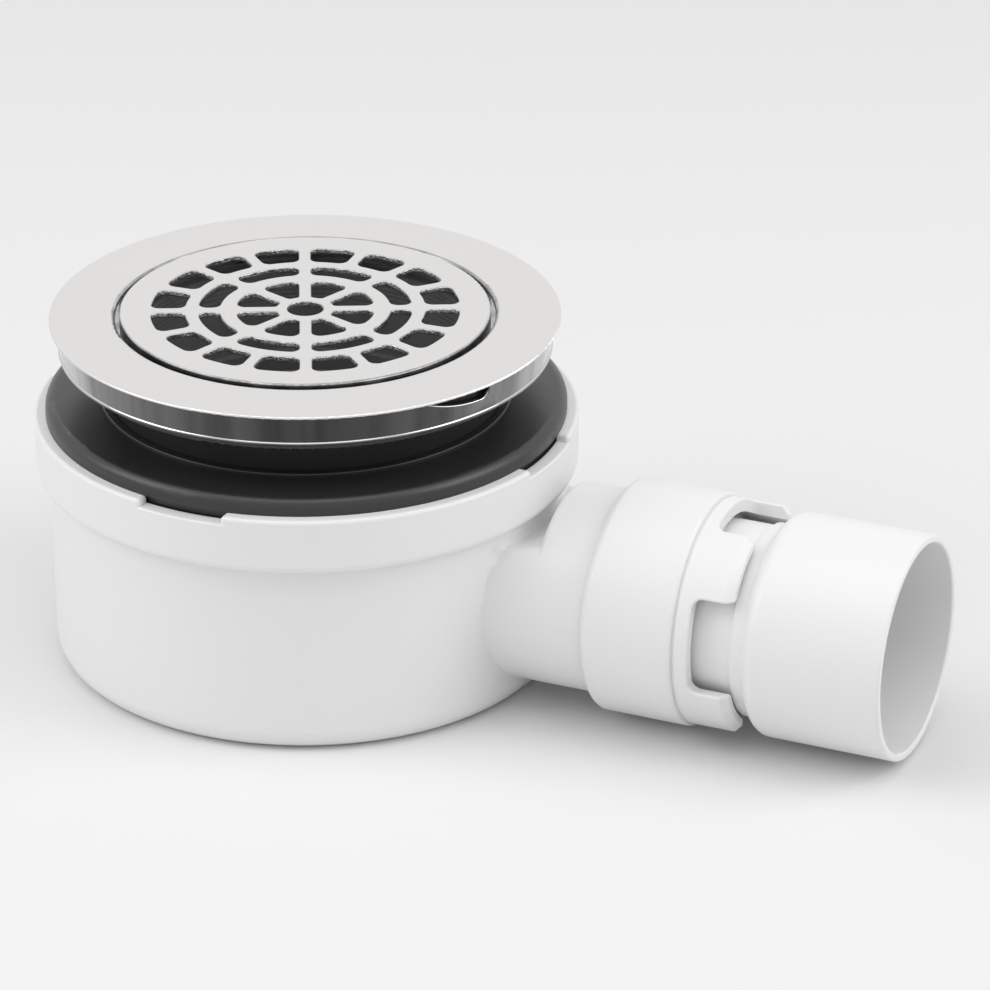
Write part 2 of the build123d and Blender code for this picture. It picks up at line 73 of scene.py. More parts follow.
# Soft boxes: angle above the floor, turn from the camera, distance, width and what they look at
TOP_RISE = radians(80.0)
TOP_DISTANCE = 1.2
TOP_WIDTH = 1.0
SIDE_RISE = radians(36.0)
SIDE_TURN = radians(80.0)
SIDE_DISTANCE = 1.4
SIDE_WIDTH = 0.9
LAMP_AIM = Vector((0.03, 0.0, 0.04))

# Shaders: middle of a noise's range, gloss of the neck's bore, how fast the painted reflection
# pales the polish when slanting
NOISE_MIDDLE = 0.5
COAT_ROUGHNESS = 0.12
SLANT_REFLECTION_POWER = 2.0


def slot_colour(slot):
    """Base colour that the record gives to a material slot."""
    for material in frame["record"]["materials"]:
        if material["slot"] == slot:
            return tuple(material["base_color"][:3])
    raise KeyError(f"the record has no material slot named {slot}")


def middle_height(node):
    """Height of the middle of a CAD node."""
    low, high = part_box(node)
    return (low.z + high.z) / 2


def feed(tree, socket, value):
    """Link a socket into an input, or set the input to a plain value."""
    if isinstance(value, bpy.types.NodeSocket):
        tree.links.new(value, socket)
    else:
        socket.default_value = value


def place(tree, kind, inputs=None, **settings):
    """Add a shader node, set its options and feed its inputs."""
    node = tree.nodes.new(kind)
    for name, value in settings.items():
        setattr(node, name, value)
    for name, value in (inputs or {}).items():
        feed(tree, node.inputs[name], value)
    return node


def calc(tree, operation, *terms):
    """Add a math node fed by sockets or plain numbers, and return its result."""
    node = tree.nodes.new("ShaderNodeMath")
    node.operation = operation
    for socket, term in zip(node.inputs, terms):
        feed(tree, socket, term)
    return node.outputs["Value"]


def ramp(tree, value, zero_at, one_at, **settings):
    """Value carried from 0 at one place to 1 at another, and held outside them."""
    inputs = {"Value": value, "From Min": zero_at, "From Max": one_at}
    return place(tree, "ShaderNodeMapRange", inputs, **settings).outputs["Result"]


def noise(tree, spot, scale, detail, **more):
    """Noise between 0 and 1."""
    inputs = {"Vector": spot, "Scale": scale, "Detail": detail, **more}
    return place(tree, "ShaderNodeTexNoise", inputs).outputs["Fac"]


def object_spot(tree):
    """Point of the surface in the frame of the object."""
    return tree.nodes.new("ShaderNodeTexCoord").outputs["Object"]


def surface_normal(tree):
    """Normal of the surface."""
    return tree.nodes.new("ShaderNodeNewGeometry").outputs["Normal"]


def split(tree, vector):
    """X, Y and Z of a vector."""
    return place(tree, "ShaderNodeSeparateXYZ", {"Vector": vector}).outputs


def join(tree, **parts):
    """Vector made of the given X, Y and Z."""
    return place(tree, "ShaderNodeCombineXYZ", parts).outputs["Vector"]


def axis_distance(tree, spot):
    """Distance of a point from the bowl's axis."""
    inputs = {0: spot, 1: (1.0, 1.0, 0.0)}
    flat = place(tree, "ShaderNodeVectorMath", inputs, operation="MULTIPLY").outputs["Vector"]
    return place(tree, "ShaderNodeVectorMath", {0: flat}, operation="LENGTH").outputs["Value"]


def mix_colours(tree, factor, low, high, **settings):
    """Mix of two colours, each given as a socket or as plain values."""
    mix = place(tree, "ShaderNodeMix", data_type="RGBA", **settings)
    feed(tree, mix.inputs["Factor"], factor)
    for socket in mix.inputs:
        given = {"A_Color": low, "B_Color": high}.get(socket.identifier)
        if given is not None:
            plain = not isinstance(given, bpy.types.NodeSocket)
            feed(tree, socket, (*given, 1.0) if plain else given)
    return next(socket for socket in mix.outputs if socket.identifier == "Result_Color")


def tinted(tree, colour, tone):
    """Colour multiplied by a tone that varies over the surface."""
    return mix_colours(tree, 1.0, colour, tone, blend_type="MULTIPLY")


def start_group(name, inputs, outputs):
    """Start a shader node group with float sockets; return its tree and its two ends' sockets."""
    tree = bpy.data.node_groups.new(name, "ShaderNodeTree")
    for label, value in inputs.items():
        socket = tree.interface.new_socket(label, in_out="INPUT", socket_type="NodeSocketFloat")
        socket.default_value = value
    for label in outputs:
        tree.interface.new_socket(label, in_out="OUTPUT", socket_type="NodeSocketFloat")
    start = tree.nodes.new("NodeGroupInput").outputs
    end = tree.nodes.new("NodeGroupOutput").inputs
    return tree, start, end


def mould_skin_group():
    """Fine grain, uneven gloss and faint tone of a moulded surface."""
    name = "mould_skin"
    if name in bpy.data.node_groups:
        return bpy.data.node_groups[name]
    flow_share, patch_share = 0.02, 0.006
    given = {"Grain Scale": 2500.0, "Roughness": 0.4, "Roughness Spread": 0.1, "Tone Spread": 0.03}
    tree, start, end = start_group(name, given, ("Height", "Roughness", "Tone"))
    spot = object_spot(tree)
    scale = start["Grain Scale"]
    grain = noise(tree, spot, scale, detail=3.0)
    flow = noise(tree, spot, calc(tree, "MULTIPLY", scale, flow_share), detail=2.0)
    patch = noise(tree, spot, calc(tree, "MULTIPLY", scale, patch_share), detail=1.0)
    gloss_drift = calc(tree, "SUBTRACT", flow, NOISE_MIDDLE)
    tone_drift = calc(tree, "SUBTRACT", patch, NOISE_MIDDLE)
    gloss_spread, tone_spread = start["Roughness Spread"], start["Tone Spread"]
    feed(tree, end["Height"], grain)
    roughness = calc(tree, "MULTIPLY_ADD", gloss_drift, gloss_spread, start["Roughness"])
    feed(tree, end["Roughness"], roughness)
    feed(tree, end["Tone"], calc(tree, "MULTIPLY_ADD", tone_drift, tone_spread, 1.0))
    return tree


def spun_finish_group():
    """Satin above a height, with fine rings round the axis; below it polish with painted reflection
    streaks, and masks for painted shade and painted highlights.
    """
    name = "spun_finish"
    if name in bpy.data.node_groups:
        return bpy.data.node_groups[name]
    fade, ring_drift, streak_count = 0.00004, 2.0, 7.0
    streak_least, streak_gain, tone_gain, roughness_gain = 0.65, 0.7, 0.05, 0.12
    given = {
        "Satin Height": 0.08,
        "Recess Radius": 0.04,
        "Line Pitch": 0.0002,
        "Satin Roughness": 0.3,
        "Polished Roughness": 0.06,
    }
    results = ("Satin", "Recess", "Height", "Roughness", "Tone", "Reflection Streak", "Lit")
    tree, start, end = start_group(name, given, results)
    spot = object_spot(tree)
    axes = split(tree, spot)
    radius = axis_distance(tree, spot)
    turn = calc(tree, "ARCTAN2", axes["Y"], axes["X"])
    sine, cosine = calc(tree, "SINE", turn), calc(tree, "COSINE", turn)

    # Rings of the satin, and painted reflection streaks that darken and lighten the polish's colour
    # round the axis
    ring_spot = join(
        tree,
        X=calc(tree, "DIVIDE", radius, start["Line Pitch"]),
        Y=calc(tree, "MULTIPLY", sine, ring_drift),
        Z=calc(tree, "MULTIPLY", cosine, ring_drift),
    )
    lines = noise(tree, ring_spot, scale=1.0, detail=3.0)
    drift = calc(tree, "SUBTRACT", lines, NOISE_MIDDLE)
    streak_spot = join(
        tree,
        X=calc(tree, "MULTIPLY", sine, streak_count),
        Y=calc(tree, "MULTIPLY", cosine, streak_count),
    )
    streak_noise = noise(tree, streak_spot, scale=1.0, detail=4.0)
    streak = ramp(tree, streak_noise, zero_at=0.3, one_at=0.7)
    feed(tree, end["Reflection Streak"], calc(tree, "MULTIPLY_ADD", streak, streak_gain, streak_least))
    feed(tree, end["Tone"], calc(tree, "MULTIPLY_ADD", drift, tone_gain, 1.0))

    # Where the satin, the recess and the upturned edges lie, and where the polish faces upwards and
    # gets a painted highlight
    above = calc(tree, "SUBTRACT", axes["Z"], start["Satin Height"])
    dull = ramp(tree, above, -fade, fade, interpolation_type="SMOOTHSTEP")
    upward = split(tree, surface_normal(tree))["Z"]
    recess = calc(tree, "LESS_THAN", radius, start["Recess Radius"])
    edge = calc(tree, "MULTIPLY", ramp(tree, upward, zero_at=0.995, one_at=0.93), recess)
    outside = calc(tree, "SUBTRACT", 1.0, recess)
    lit = calc(tree, "MULTIPLY", ramp(tree, upward, zero_at=0.05, one_at=0.5), outside)
    feed(tree, end["Lit"], lit)
    feed(tree, end["Recess"], recess)
    feed(tree, end["Satin"], calc(tree, "MULTIPLY", dull, calc(tree, "SUBTRACT", 1.0, edge)))
    feed(tree, end["Height"], calc(tree, "MULTIPLY", lines, dull))
    satin = calc(tree, "MULTIPLY_ADD", drift, roughness_gain, start["Satin Roughness"])
    step = calc(tree, "SUBTRACT", satin, start["Polished Roughness"])
    roughness = calc(tree, "MULTIPLY_ADD", step, dull, start["Polished Roughness"])
    feed(tree, end["Roughness"], roughness)
    return tree


def cut_edge_group():
    """Walls of the pierced slots, torn by the punch: mask, rough skin, bright flecks that are
    partly a burnished burr and partly painted glints.
    """
    name = "cut_edge"
    if name in bpy.data.node_groups:
        return bpy.data.node_groups[name]
    cluster_share, upright_limit = 0.2, 0.5
    given = {"Tear Size": 0.0006, "Reach": 0.038, "Tear Foot": 0.08}
    tree, start, end = start_group(name, given, ("Cut", "Height", "Glint Fleck"))
    spot = object_spot(tree)
    inside = calc(tree, "LESS_THAN", axis_distance(tree, spot), start["Reach"])
    upward = split(tree, surface_normal(tree))["Z"]
    upright = calc(tree, "LESS_THAN", calc(tree, "ABSOLUTE", upward), upright_limit)
    scale = calc(tree, "DIVIDE", 1.0, start["Tear Size"])
    tear = noise(tree, spot, scale, detail=4.0, Roughness=0.65)
    cluster = noise(tree, spot, calc(tree, "MULTIPLY", scale, cluster_share), detail=1.0)
    over = calc(tree, "SUBTRACT", split(tree, spot)["Z"], start["Tear Foot"])
    band = ramp(tree, over, zero_at=-0.0001, one_at=0.0002)
    # Painted glints, partly a burnished burr: white specks in patches near the top of the slot
    # walls.
    glint_speck = ramp(tree, tear, zero_at=0.42, one_at=0.52)
    patch = ramp(tree, cluster, zero_at=0.3, one_at=0.5)
    feed(tree, end["Cut"], calc(tree, "MULTIPLY", inside, upright))
    feed(tree, end["Height"], tear)
    feed(tree, end["Glint Fleck"], calc(tree, "MULTIPLY", calc(tree, "MULTIPLY", glint_speck, patch), band))
    return tree


def fresh_material(name):
    """Empty node material and its Principled shader, already joined to the output."""
    material = bpy.data.materials.get(name) or bpy.data.materials.new(name)
    material.use_nodes = True
    tree = material.node_tree
    tree.nodes.clear()
    shader = tree.nodes.new("ShaderNodeBsdfPrincipled")
    output = tree.nodes.new("ShaderNodeOutputMaterial")
    tree.links.new(shader.outputs["BSDF"], output.inputs["Surface"])
    return material, tree, shader


def shader_of(material):
    """Principled shader of a material."""
    return next(node for node in material.node_tree.nodes if node.type == "BSDF_PRINCIPLED")


def feeding(shader, name):
    """Socket that feeds an input of a shader."""
    return shader.inputs[name].links[0].from_socket


def add_bump(tree, shader, height, strength, distance):
    """Lay a bump on the shader, over any bump that is there already."""
    inputs = {"Height": height, "Strength": strength, "Distance": distance}
    bump = place(tree, "ShaderNodeBump", inputs)
    if shader.inputs["Normal"].is_linked:
        feed(tree, bump.inputs["Normal"], feeding(shader, "Normal"))
    feed(tree, shader.inputs["Normal"], bump.outputs["Normal"])


def moulded_material(name, colour, finish):
    """Moulded plastic or rubber: grain in the bump, uneven gloss, faint flow marks in the tone."""
    material, tree, shader = fresh_material(name)
    given = {
        "Grain Scale": 1.0 / finish.grain,
        "Roughness": finish.roughness,
        "Roughness Spread": finish.gloss_spread,
        "Tone Spread": finish.tone_spread,
    }
    skin = place(tree, "ShaderNodeGroup", node_tree=mould_skin_group())
    for label, value in given.items():
        skin.inputs[label].default_value = value
    depth = finish.grain * 0.1
    add_bump(tree, shader, skin.outputs["Height"], finish.grain_strength, depth)
    feed(tree, shader.inputs["Roughness"], skin.outputs["Roughness"])
    feed(tree, shader.inputs["Base Color"], tinted(tree, colour, skin.outputs["Tone"]))
    return material


def add_ribs(material, foot, pitch):
    """Fine level ribs on the bump above a height, like the steps that a mould core leaves."""
    tree = material.node_tree
    height = split(tree, object_spot(tree))["Z"]
    wave = calc(tree, "SINE", calc(tree, "MULTIPLY", height, 2.0 * pi / pitch))
    ribs = calc(tree, "MULTIPLY", wave, ramp(tree, height, foot, foot + pitch))
    add_bump(tree, shader_of(material), ribs, strength=0.45, distance=pitch * 0.08)


def add_bore(material, radius, colour):
    """Another colour and a glossy coat on what lies nearer to the axis than a radius."""
    tree = material.node_tree
    shader = shader_of(material)
    bore = calc(tree, "LESS_THAN", axis_distance(tree, object_spot(tree)), radius)
    plain = feeding(shader, "Base Color")
    feed(tree, shader.inputs["Base Color"], mix_colours(tree, bore, plain, colour))
    feed(tree, shader.inputs["Coat Weight"], bore)
    shader.inputs["Coat Roughness"].default_value = COAT_ROUGHNESS


def add_parting_line(material, height, start, end, width):
    """Raise a fine line on the bump, where the two halves of the mould met beside the outlet."""
    tree = material.node_tree
    axes = split(tree, object_spot(tree))
    off_line = calc(tree, "ABSOLUTE", calc(tree, "SUBTRACT", axes["Z"], height))
    ridge = ramp(tree, off_line, width / 2, 0.0, interpolation_type="SMOOTHSTEP")
    line = calc(tree, "MULTIPLY", ridge, ramp(tree, axes["X"], start, end))
    add_bump(tree, shader_of(material), line, strength=0.6, distance=width / 4)


def steel_material(name, finish, satin_height, recess_radius, polish_roughness):
    """Stainless steel: satin from a height up; polish below, coloured with a painted dark
    reflection, painted shade in the recess, painted reflection where slanting and painted
    highlights where it faces upwards.
    """
    material, tree, shader = fresh_material(name)
    shader.inputs["Metallic"].default_value = 1.0
    given = {
        "Satin Height": satin_height,
        "Recess Radius": recess_radius,
        "Line Pitch": finish.line_pitch,
        "Satin Roughness": finish.satin_roughness,
        "Polished Roughness": polish_roughness,
    }
    group = place(tree, "ShaderNodeGroup", node_tree=spun_finish_group())
    for label, value in given.items():
        group.inputs[label].default_value = value
    spun = group.outputs
    satin_colour = tinted(tree, finish.satin_colour, spun["Tone"])
    # Painted reflection: paler polish where the surface slants away from the view.
    facing = tree.nodes.new("ShaderNodeLayerWeight").outputs["Facing"]
    slant = calc(tree, "POWER", facing, SLANT_REFLECTION_POWER)
    # Painted dark reflection on the skirt and painted shade in the recess, chosen by the recess
    # mask.
    straight = mix_colours(tree, spun["Recess"], finish.dark_reflection_colour, finish.recess_shade_colour)
    polish = mix_colours(tree, slant, straight, finish.slant_reflection_colour)
    # Painted reflection: streaks round the axis in the polish's colour.
    reflection_streaked = tinted(tree, polish, spun["Reflection Streak"])
    # Painted highlight on the polish that faces upwards.
    highlighted = mix_colours(tree, spun["Lit"], reflection_streaked, finish.upturned_highlight_colour)
    result = mix_colours(tree, spun["Satin"], highlighted, satin_colour)
    feed(tree, shader.inputs["Base Color"], result)
    feed(tree, shader.inputs["Roughness"], spun["Roughness"])
    add_bump(tree, shader, spun["Height"], strength=0.15, distance=finish.line_pitch * 0.05)
    return material


def add_cut_edges(material, finish, foot):
    """Tear the walls of the slots: flecked colour with painted glints, uneven roughness and a
    coarse bump.
    """
    tree = material.node_tree
    shader = shader_of(material)
    group = place(tree, "ShaderNodeGroup", node_tree=cut_edge_group())
    group.inputs["Tear Size"].default_value = finish.tear_size
    group.inputs["Tear Foot"].default_value = foot
    cut = group.outputs
    # Painted glints: white flecks on the slot walls.
    walls = mix_colours(tree, cut["Glint Fleck"], finish.cut_dark, finish.glint_fleck_colour)
    plain, smooth = feeding(shader, "Base Color"), feeding(shader, "Roughness")
    feed(tree, shader.inputs["Base Color"], mix_colours(tree, cut["Cut"], plain, walls))
    gain = calc(tree, "SUBTRACT", finish.cut_roughness, smooth)
    roughness = calc(tree, "MULTIPLY_ADD", gain, cut["Cut"], smooth)
    feed(tree, shader.inputs["Roughness"], roughness)
    height = calc(tree, "MULTIPLY", cut["Height"], cut["Cut"])
    add_bump(tree, shader, height, strength=0.9, distance=finish.tear_size * 0.5)


def dress(names, material):
    """Give CAD nodes a finished material."""
    for name in names:
        slots = frame["nodes"][name].data.materials
        slots.clear()
        slots.append(material)


def wall_radius(height, bowl_box, draft):
    """Radius of the bowl's tapered wall at a height."""
    low, high = bowl_box
    return -low.x - draft * (1.0 - height / high.z)


def draw_in_channel(shape, outlet):
    """Draw the boxed channel in behind the stub's round and the flat roof, flared at the bowl."""
    axis = middle_height("outlet_spigot")
    bowl_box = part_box("trap_bowl")
    skin_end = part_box("coupling_nut")[0].x + outlet.tuck
    for vertex in shape.verts:
        x, y, z = vertex.co
        rise = z - axis
        out = hypot(x, y) - wall_radius(z, bowl_box, outlet.wall_draft)
        if x < 0.0 or x > skin_end or rise > outlet.radius or out < SKIN_SLACK:
            continue
        spread = max(outlet.flare - out, 0.0)
        flare = outlet.flare - sqrt(outlet.flare**2 - spread**2)
        if x < outlet.stub_start:
            rise = min(rise, outlet.roof + flare - SKIN_SLACK)
        limit = outlet.radius + flare - SKIN_SLACK
        shrink = limit / max(hypot(y, rise), limit)
        vertex.co = (x, y * shrink, axis + rise * shrink)


def skin_stations(outlet):
    """Stations along the channel's skin, each with the least radius that its section has."""
    stations = [(None, 0.0), (outlet.stub_start, 0.0)]
    for step in range(EDGE_STEPS + 1):
        bend = radians(90.0 / EDGE_STEPS) * step
        along = outlet.stub_start + outlet.edge_round * (1.0 - cos(bend))
        stations.append((along, outlet.radius - outlet.edge_round * (1.0 - sin(bend))))
    stations.append((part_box("coupling_nut")[0].x + outlet.tuck, outlet.radius))
    return stations


def add_channel_skin(shape, outlet):
    """Closed skin from the bowl's wall to the nut, flat on top as far as the stub's start."""
    axis = middle_height("outlet_spigot")
    bowl_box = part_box("trap_bowl")
    corner = acos(outlet.roof / outlet.radius)
    rest = 2.0 * pi - 2.0 * corner
    turns = [corner * (2.0 * step / ROOF_STEPS - 1.0) for step in range(ROOF_STEPS)]
    turns += [corner + rest * step / ROUND_STEPS for step in range(ROUND_STEPS)]
    stations = skin_stations(outlet)
    layers = [(*station, 0.0) for station in stations]
    layers += [(*station, outlet.skin) for station in reversed(stations)]
    rings = []
    for along, least, depth in layers:
        ring = []
        for turn in turns:
            flat = outlet.roof / cos(turn) if turn < corner else outlet.radius
            reach = max(min(flat, outlet.radius), least) - depth
            y, z = -reach * sin(turn), axis + reach * cos(turn)
            wall = wall_radius(z, bowl_box, outlet.wall_draft) - outlet.skin
            x = sqrt(wall**2 - y**2) if along is None else along + depth
            ring.append(shape.verts.new((x, y, z)))
        rings.append(ring)
    for near, far in zip(rings, (*rings[1:], rings[0])):
        for here, there in zip(range(len(turns)), (*range(1, len(turns)), 0)):
            face = shape.faces.new((near[here], near[there], far[there], far[here]))
            face.smooth = True
    points = [point for ring in rings for point in ring]
    bmesh.ops.remove_doubles(shape, verts=points, dist=WELD_DISTANCE)
    shape.normal_update()
    for edge in {edge for point in points if point.is_valid for edge in point.link_edges}:
        edge.smooth = edge.calc_face_angle(0.0) < SHARP_ANGLE


def redraw_bowl(outlet):
    """Bowl whose channel carries on the stub's round, in place of the one with a boxed channel."""
    mesh = bpy.data.meshes.new("bowl")
    shape = bmesh.new()
    shape.from_mesh(frame["nodes"]["trap_bowl"].data)
    draw_in_channel(shape, outlet)
    add_channel_skin(shape, outlet)
    shape.to_mesh(mesh)
    shape.free()
    bowl = bpy.data.objects.new("bowl", mesh)
    bpy.context.scene.collection.objects.link(bowl)
    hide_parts("trap_bowl")
    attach(bowl, "root")
    return bowl


class OutletShape(bpy.types.PropertyGroup):
    """Channel between the bowl's wall and the stub."""

    radius: FloatProperty(
        name="Radius", description="Radius of channel and stub", default=0.02288, unit="LENGTH"
    )
    roof: FloatProperty(
        name="Roof", description="Flat roof above the outlet's axis", default=0.0143, unit="LENGTH"
    )
    stub_start: FloatProperty(
        name="Stub start",
        description="Where the stub's full round starts",
        default=0.0634,
        unit="LENGTH",
    )
    skin: FloatProperty(
        name="Skin", description="Thickness of the channel's skin", default=0.0008, unit="LENGTH"
    )
    tuck: FloatProperty(
        name="Tuck",
        description="How far the skin runs under the nut",
        default=0.001,
        unit="LENGTH",
    )
    edge_round: FloatProperty(
        name="Edge round",
        description="Round on the stub's start",
        default=0.0016,
        unit="LENGTH",
    )
    flare: FloatProperty(
        name="Flare", description="Round where channel meets bowl", default=0.0015, unit="LENGTH"
    )
    wall_draft: FloatProperty(
        name="Wall draft",
        description="How much narrower the bowl is at its foot",
        default=0.0007,
        unit="LENGTH",
    )


class WhiteFinish(bpy.types.PropertyGroup):
    """White moulded plastic."""

    colour: FloatVectorProperty(
        name="Colour",
        description="Colour of the white mouldings",
        subtype="COLOR",
        size=3,
        min=0.0,
        max=1.0,
        default=slot_colour("white_plastic"),
    )
    roughness: FloatProperty(
        name="Roughness", description="Mean roughness", default=0.36, subtype="FACTOR"
    )
    gloss_spread: FloatProperty(
        name="Gloss spread", description="How uneven the gloss is", default=0.1
    )
    tone_spread: FloatProperty(
        name="Tone spread", description="How uneven the tone is", default=0.02
    )
    grain: FloatProperty(
        name="Grain", description="Size of the mould grain", default=0.0005, unit="LENGTH"
    )
    grain_strength: FloatProperty(
        name="Grain strength", description="Strength of the grain", default=0.08
    )
    line_width: FloatProperty(
        name="Parting line",
        description="Width of the parting line beside the outlet",
        default=0.0005,
        unit="LENGTH",
    )


class DarkFinish(bpy.types.PropertyGroup):
    """Dark moulded plastic inside the trap and in the neck."""

    inner_colour: FloatVectorProperty(
        name="Inner colour",
        description="Colour of the dip tube, the cup and the neck's bore",
        subtype="COLOR",
        size=3,
        min=0.0,
        max=1.0,
        default=slot_colour("grey_plastic"),
    )
    neck_colour: FloatVectorProperty(
        name="Neck colour",
        description="Colour of the threaded neck and slip washer",
        subtype="COLOR",
        size=3,
        min=0.0,
        max=1.0,
        default=slot_colour("black_plastic"),
    )
    roughness: FloatProperty(
        name="Roughness", description="Mean roughness", default=0.45, subtype="FACTOR"
    )
    gloss_spread: FloatProperty(
        name="Gloss spread", description="How uneven the gloss is", default=0.12
    )
    tone_spread: FloatProperty(
        name="Tone spread", description="How uneven the tone is", default=0.15
    )
    grain: FloatProperty(
        name="Grain", description="Size of the mould grain", default=0.0004, unit="LENGTH"
    )
    grain_strength: FloatProperty(
        name="Grain strength", description="Strength of the grain", default=0.15
    )
    neck_sheen: FloatProperty(
        name="Neck sheen", description="Strength of the neck's reflections", default=0.2
    )
    rib_pitch: FloatProperty(
        name="Rib pitch",
        description="Spacing of the fine ribs inside the funnel",
        default=0.0011,
        unit="LENGTH",
    )
    rib_depth: FloatProperty(
        name="Rib depth",
        description="How far down the funnel the ribs reach",
        default=0.009,
        unit="LENGTH",
    )


class RubberFinish(bpy.types.PropertyGroup):
    """Black moulded rubber of the gaskets and seals."""

    colour: FloatVectorProperty(
        name="Colour",
        description="Colour of the rubber",
        subtype="COLOR",
        size=3,
        min=0.0,
        max=1.0,
        default=slot_colour("black_rubber"),
    )
    roughness: FloatProperty(
        name="Roughness", description="Mean roughness", default=0.32, subtype="FACTOR"
    )
    gloss_spread: FloatProperty(
        name="Gloss spread", description="How uneven the gloss is", default=0.14
    )
    tone_spread: FloatProperty(
        name="Tone spread", description="How uneven the tone is", default=0.25
    )
    grain: FloatProperty(
        name="Grain", description="Size of the mould grain", default=0.00035, unit="LENGTH"
    )
    grain_strength: FloatProperty(
        name="Grain strength", description="Strength of the grain", default=0.2
    )


class SteelFinish(bpy.types.PropertyGroup):
    """Stainless steel of the cover and the grid."""

    satin_colour: FloatVectorProperty(
        name="Satin colour",
        description="Colour of the satin top",
        subtype="COLOR",
        size=3,
        min=0.0,
        max=1.0,
        default=slot_colour("satin_steel"),
    )
    # Painted dark reflection: the skirt's polish is coloured nearly black, standing in for the dark
    # surroundings that it reflects.
    dark_reflection_colour: FloatVectorProperty(
        name="Polished colour",
        description="Colour of the polished skirt, seen straight on",
        subtype="COLOR",
        size=3,
        min=0.0,
        max=1.0,
        default=(0.045, 0.045, 0.045),
    )
    # Painted shade: the polish in the recess and on the grid's edges is coloured darker than bare
    # steel, for the shade in the groove round the grid.
    recess_shade_colour: FloatVectorProperty(
        name="Recess colour",
        description="Colour of the polish in the recess and on the grid's edges, seen straight on",
        subtype="COLOR",
        size=3,
        min=0.0,
        max=1.0,
        default=(0.28, 0.28, 0.28),
    )
    # Painted reflection: the polish is coloured paler where it slants away from the view, standing
    # in for the bright surroundings that it reflects there.
    slant_reflection_colour: FloatVectorProperty(
        name="Slanting colour",
        description="Colour of the polish at a flat angle of view",
        subtype="COLOR",
        size=3,
        min=0.0,
        max=1.0,
        default=(0.8, 0.8, 0.8),
    )
    # Painted highlight: the polish that faces upwards, on the hem's bead and the skirt's upper
    # edge, is coloured pale as if lit from above.
    upturned_highlight_colour: FloatVectorProperty(
        name="Edge colour",
        description="Colour of the hem's bead and the skirt's upper edge",
        subtype="COLOR",
        size=3,
        min=0.0,
        max=1.0,
        default=(0.62, 0.62, 0.62),
    )
    cover_satin: FloatProperty(
        name="Cover satin",
        description="How far down the cover's edge the satin reaches",
        default=0.00095,
        unit="LENGTH",
    )
    recess_margin: FloatProperty(
        name="Recess margin",
        description="How far outside the grid the polish of the recess ends",
        default=0.00185,
        unit="LENGTH",
    )
    grid_satin: FloatProperty(
        name="Grid satin",
        description="How far down the grid's edge the satin reaches",
        default=0.0003,
        unit="LENGTH",
    )
    tear_depth: FloatProperty(
        name="Tear depth",
        description="How far down the slot walls the bright flecks reach",
        default=0.0009,
        unit="LENGTH",
    )
    # Bright flecks: partly the burnished burr near the top of the slot walls, partly painted glints
    # in pure white.
    glint_fleck_colour: FloatVectorProperty(
        name="Bright flecks",
        description="Colour of the bright flecks on the slot walls",
        subtype="COLOR",
        size=3,
        min=0.0,
        max=1.0,
        default=(1.0, 1.0, 1.0),
    )
    cut_dark: FloatVectorProperty(
        name="Dark flecks",
        description="Colour of the dull metal on the slot walls",
        subtype="COLOR",
        size=3,
        min=0.0,
        max=1.0,
        default=(0.2, 0.2, 0.2),
    )
    cut_roughness: FloatProperty(
        name="Cut edges", description="Roughness of the slot walls", default=0.3
    )
    tear_size: FloatProperty(
        name="Tear size",
        description="Size of the tears that the punch left on the slot walls",
        default=0.0006,
        unit="LENGTH",
    )
    satin_roughness: FloatProperty(
        name="Satin", description="Roughness of the satin top", default=0.3
    )
    polished_roughness: FloatProperty(
        name="Polish", description="Roughness of the polish", default=0.06
    )
    grid_roughness: FloatProperty(
        name="Grid edge", description="Roughness of the grid's edge", default=0.3
    )
    line_pitch: FloatProperty(
        name="Line pitch",
        description="Spacing of the fine rings in the satin",
        default=0.0003,
        unit="LENGTH",
    )


class StudioSettings(bpy.types.PropertyGroup):
    """Camera, floor and lamps."""

    azimuth: FloatProperty(
        name="Azimuth",
        description="Camera's turn round the trap",
        default=radians(23.59),
        subtype="ANGLE",
    )
    elevation: FloatProperty(
        name="Elevation",
        description="Camera's height angle",
        default=radians(25.29),
        subtype="ANGLE",
    )
    distance: FloatProperty(
        name="Distance",
        description="From the camera to the middle of the view",
        default=1.2377,
        unit="LENGTH",
    )
    view_side: FloatProperty(
        name="View side",
        description="How far the middle of the view lies beside the bowl's axis",
        default=0.04202,
        unit="LENGTH",
    )
    view_height: FloatProperty(
        name="View height",
        description="Height of the middle of the view",
        default=0.0354,
        unit="LENGTH",
    )
    lens: FloatProperty(name="Lens", description="Focal length in millimetres", default=200.0)
    floor_radius: FloatProperty(
        name="Floor", description="Radius of the floor", default=6.0, unit="LENGTH"
    )
    floor_colour: FloatVectorProperty(
        name="Floor colour",
        description="Colour of the plain floor",
        subtype="COLOR",
        size=3,
        min=0.0,
        max=1.0,
        default=(0.8, 0.8, 0.8),
    )
    ambient: FloatProperty(
        name="Ambient", description="Strength of the soft light all round", default=0.58
    )
    top_power: FloatProperty(
        name="Top lamp", description="Watts of the soft box overhead", default=4.0
    )
    side_power: FloatProperty(
        name="Side lamps", description="Watts of each soft box at the sides", default=6.0
    )


class TrapLooks(bpy.types.PropertyGroup):
    """All settings of the shower trap's looks."""

    outlet: PointerProperty(type=OutletShape)
    white: PointerProperty(type=WhiteFinish)
    dark: PointerProperty(type=DarkFinish)
    rubber: PointerProperty(type=RubberFinish)
    steel: PointerProperty(type=SteelFinish)
    studio: PointerProperty(type=StudioSettings)


